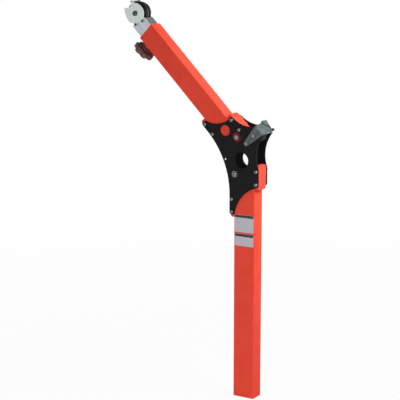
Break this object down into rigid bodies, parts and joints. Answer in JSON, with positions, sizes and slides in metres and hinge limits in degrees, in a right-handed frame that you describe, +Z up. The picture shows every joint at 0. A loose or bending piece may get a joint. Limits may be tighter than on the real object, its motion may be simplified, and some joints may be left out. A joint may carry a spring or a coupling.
{
  "type": "davit crane",
  "caption": "Davit crane: rectangular mast, angled arm on bolted knuckle plates, sliding pulley head clamped by a star knob, hinged rope guard.",
  "frame": {"origin": "centre of the mast's foot, at the height of its lower end", "axes": "+X forward, the way the arm reaches; +Y left; +Z up along the mast"},
  "size_m": [0.6337, 0.0992, 1.5283],
  "materials": {
    "red_paint": "satin powder coat",
    "black_paint": "satin powder coat",
    "plated_steel": "zinc plated",
    "guard_steel": "zinc plated sheet",
    "head_aluminium": "anodised",
    "cheek_steel": "zinc plated sheet",
    "sheave_polymer": "turned",
    "bush_bronze": "turned",
    "knob_plastic": "moulded",
    "label_foil": "matt foil",
    "plug_plastic": "moulded",
    "dark_steel": "blackened"
  },
  "bodies": {
    "mast": {"mast_tube": "red_paint", "arm_tube": "red_paint", "arm_upper_bar": "red_paint", "arm_lower_bar": "red_paint", "mast_rear_bar": "red_paint", "mast_front_bar": "red_paint", "lock_boss": "red_paint", "knuckle_plate_left": "black_paint", "knuckle_plate_right": "black_paint", "plate_nuts": "plated_steel", "plate_washers": "plated_steel", "stop_bolt": "plated_steel", "stop_nut": "plated_steel", "stop_washers": "plated_steel", "stop_spacer": "plated_steel", "arm_cross_bolt": "plated_steel", "arm_cross_nut": "plated_steel", "arm_cross_sleeve": "plated_steel", "knuckle_axle": "plated_steel", "knuckle_spacers": "plated_steel", "pivot_bolt": "plated_steel", "pivot_sleeve": "plated_steel", "pivot_collars": "plated_steel", "pivot_washer": "plated_steel", "pivot_nut": "plated_steel", "plate_bolts": "plated_steel", "label_plate_upper": "label_foil", "label_plate_lower": "label_foil", "mast_foot_plug": "plug_plastic", "knuckle_clips": "dark_steel", "knuckle_divider": "dark_steel"},
    "head": {"head_tube": "head_aluminium", "head_spacers": "plated_steel", "head_cheek_left": "cheek_steel", "head_cheek_right": "cheek_steel", "head_divider": "guard_steel", "head_axle": "dark_steel", "head_axle_nut": "plated_steel", "head_axle_washer": "plated_steel", "head_keeper_pin": "plated_steel", "cheek_screws": "dark_steel"},
    "head_sheave_left": {"head_sheave_left": "sheave_polymer", "head_bush_left": "bush_bronze"},
    "head_sheave_right": {"head_sheave_right": "sheave_polymer", "head_bush_right": "bush_bronze"},
    "knuckle_sheave_left": {"knuckle_sheave_left": "sheave_polymer", "knuckle_bush_left": "bush_bronze"},
    "knuckle_sheave_right": {"knuckle_sheave_right": "sheave_polymer", "knuckle_bush_right": "bush_bronze"},
    "rope_guard": {"rope_guard": "guard_steel", "guard_detents": "plated_steel", "guard_button": "plug_plastic"},
    "lock_pad": {"lock_pad": "plated_steel"},
    "lock_knob": {"lock_knob": "knob_plastic", "lock_stud": "plated_steel"}
  },
  "joints": [
    {"name": "head_slide", "type": "slide", "parent": "mast", "child": "head", "axis": [0.7071, 0, 0.7071], "range_m": [0, 0.12]},
    {"name": "head_sheave_left_spin", "type": "hinge", "parent": "head", "child": "head_sheave_left", "pos_m": [0.49639, 0, 1.47886], "axis": [0, 1, 0], "continuous": true},
    {"name": "head_sheave_right_spin", "type": "hinge", "parent": "head", "child": "head_sheave_right", "pos_m": [0.49639, 0, 1.47886], "axis": [0, 1, 0], "continuous": true},
    {"name": "knuckle_sheave_left_spin", "type": "hinge", "parent": "mast", "child": "knuckle_sheave_left", "pos_m": [-0.04384, 0, 1.04045], "axis": [0, 1, 0], "continuous": true},
    {"name": "knuckle_sheave_right_spin", "type": "hinge", "parent": "mast", "child": "knuckle_sheave_right", "pos_m": [-0.04384, 0, 1.04045], "axis": [0, 1, 0], "continuous": true},
    {"name": "guard_lift", "type": "hinge", "parent": "mast", "child": "rope_guard", "pos_m": [-0.01202, 0, 1.00863], "axis": [0, 1, 0], "range_deg": [0, 45]},
    {"name": "lock_pad_slide", "type": "slide", "parent": "mast", "child": "lock_pad", "axis": [0.7071, 0, -0.7071], "range_m": [0, 0.004]},
    {"name": "lock_knob_turn", "type": "hinge", "parent": "lock_pad", "child": "lock_knob", "pos_m": [0.46952, 0, 1.33602], "axis": [0.7071, 0, -0.7071], "range_deg": [0, 720]}
  ],
  "couplings": [
    {"joint": "lock_pad_slide", "follows": "lock_knob_turn", "m_per_rad": 0.000318}
  ]
}
